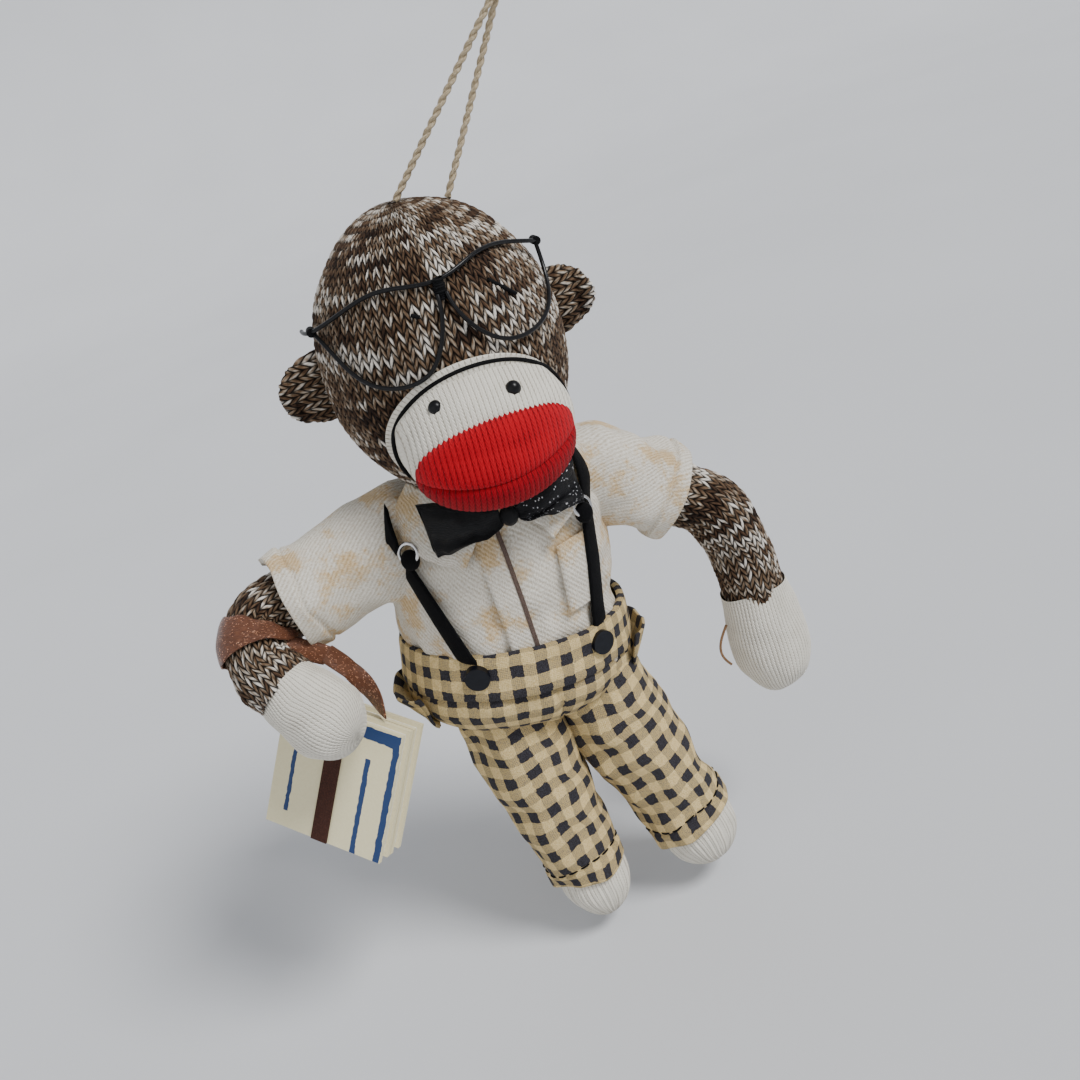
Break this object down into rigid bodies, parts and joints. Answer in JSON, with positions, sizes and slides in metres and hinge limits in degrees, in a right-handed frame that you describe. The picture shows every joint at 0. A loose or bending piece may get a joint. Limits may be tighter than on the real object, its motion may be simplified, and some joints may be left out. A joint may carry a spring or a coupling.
{
  "type": "stuffed monkey ornament",
  "caption": "Stuffed knitted monkey in a shirt, braces, bow tie and checked trousers, with spectacles on its brow and books on a ribbon, hung on a twine loop.",
  "frame": {"origin": "inside the top of the twine loop, where the hook holds it", "axes": "+Z along the body's upright axis, from the feet to the crown; the face looks along -Y; +X is the monkey's left side"},
  "size_m": [0.1409, 0.0639, 0.2161],
  "materials": {
    "twine": "rough",
    "marl_knit": "rough",
    "cream_knit": "rough",
    "stuffing": "rough",
    "red_knit": "rough",
    "black_bead": "gloss",
    "black_thread": "matt",
    "black_wire": "gloss",
    "flannel": "brushed",
    "placket_cloth": "brushed",
    "velvet": "velvet",
    "satin_black": "satin",
    "gingham": "woven",
    "black_dome": "satin",
    "silver_ring": "gloss",
    "brown_satin": "satin",
    "brown_thread": "matt",
    "cover_card": "satin",
    "white_paper": "matt",
    "brown_tape": "matt"
  },
  "bodies": {
    "hanger": {"hanging_twine": "twine"},
    "head": {"head_skin": "marl_knit", "head_stuffing": "stuffing", "right_ear": "marl_knit", "left_ear": "marl_knit", "muzzle_skin": "cream_knit", "muzzle_stuffing": "stuffing", "lips": "red_knit", "right_eye": "black_bead", "left_eye": "black_bead", "muzzle_cord": "black_thread", "right_brow_stitch": "black_thread", "left_brow_stitch": "black_thread"},
    "spectacles": {"brow_wire": "black_wire", "right_rim_wire": "black_wire", "left_rim_wire": "black_wire", "bridge_binding": "black_thread", "right_end_binding": "black_thread", "left_end_binding": "black_thread"},
    "trunk": {"torso_stuffing": "stuffing", "shirt_body": "flannel", "neck_stuffing": "stuffing", "shirt_placket": "placket_cloth", "chest_pocket": "flannel", "shirt_collar": "flannel", "right_brace": "velvet", "left_brace": "velvet", "right_tie_wing": "satin_black", "left_tie_wing": "satin_black", "tie_knot": "satin_black", "trouser_waistband": "gingham", "trouser_seat": "gingham", "right_hip_pocket": "gingham", "left_hip_pocket": "gingham", "right_brace_stud": "black_dome", "left_brace_stud": "black_dome", "right_brace_ring": "silver_ring", "left_brace_ring": "silver_ring"},
    "arm_right": {"right_upper_arm": "marl_knit", "right_sleeve": "flannel"},
    "arm_left": {"left_upper_arm": "marl_knit", "left_sleeve": "flannel"},
    "lower_arm_right": {"right_forearm": "marl_knit", "right_hand": "cream_knit", "arm_ribbon": "brown_satin"},
    "lower_arm_left": {"left_forearm": "marl_knit", "left_hand": "cream_knit", "hand_thread": "brown_thread"},
    "leg_right": {"right_foot": "cream_knit", "right_leg": "cream_knit", "right_trouser_leg": "gingham"},
    "leg_left": {"left_foot": "cream_knit", "left_leg": "cream_knit", "left_trouser_leg": "gingham"},
    "books": {"front_book_cover": "cover_card", "front_book_pages": "white_paper", "back_book_cover": "cover_card", "back_book_pages": "white_paper", "book_strap": "brown_tape", "ribbon_tail": "brown_satin"}
  },
  "joints": [
    {"name": "loop_swing", "type": "hinge", "parent": "hanger", "child": "head", "pos_m": [-0.0283, -0.002, -0.0317], "axis": [0.9646, 0, -0.2639], "range_deg": [-45, 45]},
    {"name": "neck_turn", "type": "hinge", "parent": "head", "child": "trunk", "pos_m": [-0.0347, 0, -0.0633], "axis": [0, 0, 1], "range_deg": [-12, 12], "stiffness_Nm_per_rad": 0.01},
    {"name": "spectacles_lift", "type": "hinge", "parent": "head", "child": "spectacles", "pos_m": [-0.0347, -0.003, -0.0473], "axis": [-1, 0, 0], "range_deg": [0, 22]},
    {"name": "shoulder_right", "type": "hinge", "parent": "trunk", "child": "arm_right", "pos_m": [-0.0622, -0.001, -0.1008], "axis": [0, 1, 0], "range_deg": [-12, 10]},
    {"name": "shoulder_left", "type": "hinge", "parent": "trunk", "child": "arm_left", "pos_m": [-0.0112, -0.001, -0.1028], "axis": [0, -1, 0], "range_deg": [-10, 30]},
    {"name": "elbow_right", "type": "hinge", "parent": "arm_right", "child": "lower_arm_right", "pos_m": [-0.0967, -0.003, -0.1068], "axis": [-0.0979, -0.6277, 0.7722], "range_deg": [-15, 8]},
    {"name": "elbow_left", "type": "hinge", "parent": "arm_left", "child": "lower_arm_left", "pos_m": [0.0148, -0.004, -0.1258], "axis": [0.0422, 0.9957, -0.0821], "range_deg": [-25, 25]},
    {"name": "hip_right", "type": "hinge", "parent": "trunk", "child": "leg_right", "pos_m": [-0.0527, -0.003, -0.1548], "axis": [-1, 0, 0], "range_deg": [-28, 28]},
    {"name": "hip_left", "type": "hinge", "parent": "trunk", "child": "leg_left", "pos_m": [-0.0252, -0.003, -0.1593], "axis": [-1, 0, 0], "range_deg": [-28, 28]},
    {"name": "books_swing", "type": "hinge", "parent": "lower_arm_right", "child": "books", "pos_m": [-0.0844, -0.0114, -0.1143], "axis": [0.979, 0.204, 0], "range_deg": [0, 15]}
  ]
}
